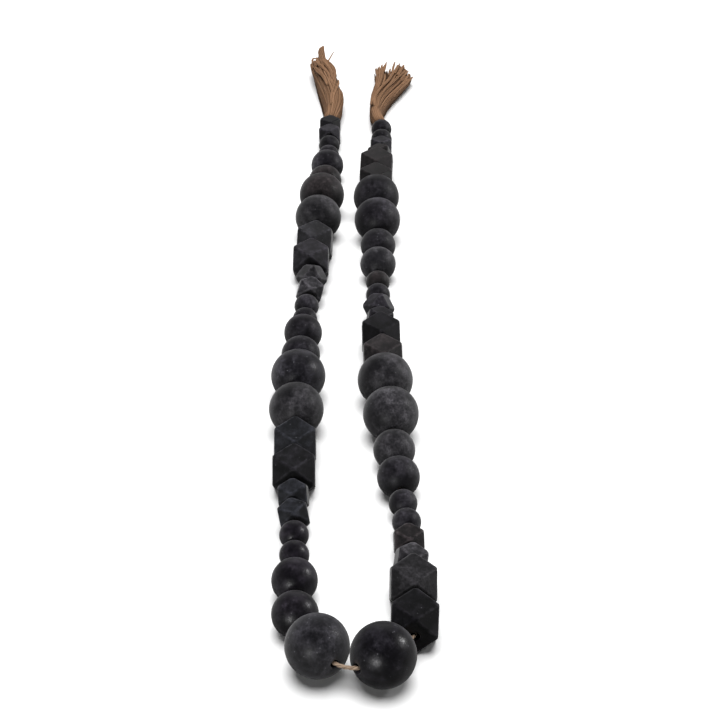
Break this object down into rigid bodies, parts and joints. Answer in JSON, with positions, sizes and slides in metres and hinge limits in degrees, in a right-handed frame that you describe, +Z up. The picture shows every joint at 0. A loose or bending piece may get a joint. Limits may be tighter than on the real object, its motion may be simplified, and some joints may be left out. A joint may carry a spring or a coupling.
{
  "type": "beaded garland",
  "caption": "String of turned and faceted charcoal wooden beads with a jute tassel at each end, lying doubled in a long narrow U.",
  "frame": {"origin": "under the middle of the whole garland, on the surface that it lies on", "axes": "+Y from the bend to the tassels, +X across the two strands towards the right strand, +Z up"},
  "size_m": [0.1222, 0.9148, 0.0416],
  "materials": {
    "charcoal_wood": "wood stained near black, dull to satin, with chalky grey rubbed patches and lighter worn edges",
    "jute_string": "plied natural jute twine, pale tan, hairy",
    "jute_tassel": "loose bundles of natural jute fibre, dull brown tan"
  },
  "bodies": {
    "root": {"bead_01_small_faceted": "charcoal_wood", "bead_02_small_faceted": "charcoal_wood", "bead_03_small_round": "charcoal_wood", "bead_04_small_round": "charcoal_wood", "bead_05_medium_round": "charcoal_wood", "bead_06_medium_round": "charcoal_wood", "bead_07_large_round": "charcoal_wood", "bead_08_large_round": "charcoal_wood", "bead_09_large_faceted": "charcoal_wood", "bead_10_large_faceted": "charcoal_wood", "bead_11_small_faceted": "charcoal_wood", "bead_12_small_faceted": "charcoal_wood", "bead_13_small_round": "charcoal_wood", "bead_14_small_round": "charcoal_wood", "bead_15_medium_round": "charcoal_wood", "bead_16_medium_round": "charcoal_wood", "bead_17_large_round": "charcoal_wood", "bead_18_large_round": "charcoal_wood", "bead_19_large_faceted": "charcoal_wood", "bead_20_large_faceted": "charcoal_wood", "bead_21_small_faceted": "charcoal_wood", "bead_22_small_faceted": "charcoal_wood", "bead_23_small_round": "charcoal_wood", "bead_24_small_round": "charcoal_wood", "bead_25_medium_round": "charcoal_wood", "bead_26_medium_round": "charcoal_wood", "bead_27_large_round": "charcoal_wood", "bead_28_large_round": "charcoal_wood", "bead_29_large_faceted": "charcoal_wood", "bead_30_large_faceted": "charcoal_wood", "bead_31_small_faceted": "charcoal_wood", "bead_32_small_faceted": "charcoal_wood", "bead_33_small_round": "charcoal_wood", "bead_34_small_round": "charcoal_wood", "bead_35_medium_round": "charcoal_wood", "bead_36_medium_round": "charcoal_wood", "bead_37_large_round": "charcoal_wood", "bead_38_large_round": "charcoal_wood", "bead_39_large_faceted": "charcoal_wood", "bead_40_large_faceted": "charcoal_wood", "bead_41_small_faceted": "charcoal_wood", "bead_42_small_faceted": "charcoal_wood", "bead_43_small_round": "charcoal_wood", "bead_44_small_round": "charcoal_wood", "bead_45_medium_round": "charcoal_wood", "bead_46_medium_round": "charcoal_wood", "bead_47_large_round": "charcoal_wood", "bead_48_large_round": "charcoal_wood", "bead_49_large_faceted": "charcoal_wood", "bead_50_large_faceted": "charcoal_wood", "bead_51_small_faceted": "charcoal_wood", "bead_52_small_faceted": "charcoal_wood", "bead_53_small_round": "charcoal_wood", "bead_54_small_round": "charcoal_wood", "string": "jute_string", "tassel_left": "jute_tassel", "tassel_right": "jute_tassel"}
  },
  "joints": []
}
